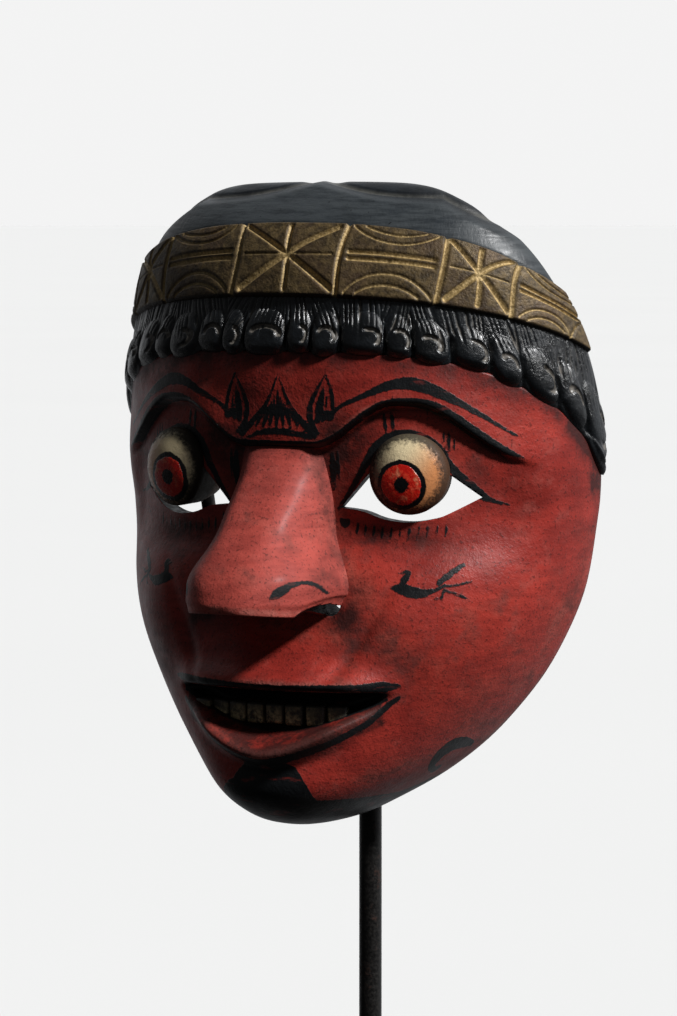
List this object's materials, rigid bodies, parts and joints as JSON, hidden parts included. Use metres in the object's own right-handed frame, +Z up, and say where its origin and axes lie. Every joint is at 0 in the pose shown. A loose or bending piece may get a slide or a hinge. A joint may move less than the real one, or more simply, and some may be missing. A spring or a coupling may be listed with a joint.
{
  "type": "mask on a display stand",
  "caption": "Carved and painted wooden dance mask with a long nose, on a forked iron stand that turns; the mask lifts off.",
  "frame": {"origin": "centre of the stand's foot on the table, at the underside of the felt", "axes": "+Z up, the mask faces -Y, +X is the mask's own left"},
  "size_m": [0.1502, 0.1488, 0.3184],
  "materials": {
    "face_paint": "old red paint on carved wood, worn gloss",
    "nose_paint": "old red paint on carved wood, worn gloss",
    "eye_paint": "yellowed cream paint with a red iris",
    "teeth_paint": "dulled gold paint",
    "hair_paint": "black gloss paint",
    "gold_paint": "tarnished gold bronze paint",
    "cap_paint": "worn blue-black paint",
    "strap_leather": "dark undyed leather",
    "tack_iron": "rusted iron",
    "blackened_iron": "blackened bar, rubbed at the top",
    "weld_iron": "weld bead, painted over",
    "sleeve_plastic": "soft sleeve",
    "fitting_iron": "blackened turned iron",
    "screw_steel": "dull steel",
    "foot_wood": "dark stained hardwood, oiled",
    "foot_felt": "felt",
    "bush_brass": "turned brass"
  },
  "bodies": {
    "foot": {"base_block": "foot_wood", "felt_pad": "foot_felt", "socket_flange": "fitting_iron", "socket_bush": "bush_brass", "flange_screws": "screw_steel", "grub_screw": "screw_steel"},
    "stand": {"rod": "blackened_iron", "fork": "blackened_iron", "weld_bead": "weld_iron", "left_prong_sleeve": "sleeve_plastic", "right_prong_sleeve": "sleeve_plastic", "stop_collar": "fitting_iron", "collar_screw": "screw_steel"},
    "mask": {"mask_shell": "face_paint", "nose": "nose_paint", "left_eyeball": "eye_paint", "right_eyeball": "eye_paint", "upper_teeth": "teeth_paint", "hair_fringe": "hair_paint", "headband": "gold_paint", "cap_crown": "cap_paint", "bite_strap": "strap_leather", "strap_tacks": "tack_iron"}
  },
  "joints": [
    {"name": "rod_turn", "type": "hinge", "parent": "foot", "child": "stand", "pos_m": [0, 0, 0.035], "axis": [0, 0, 1], "continuous": true},
    {"name": "mask_lift", "type": "slide", "parent": "stand", "child": "mask", "axis": [0, -0.6, 0.8], "range_m": [0, 0.2]}
  ]
}
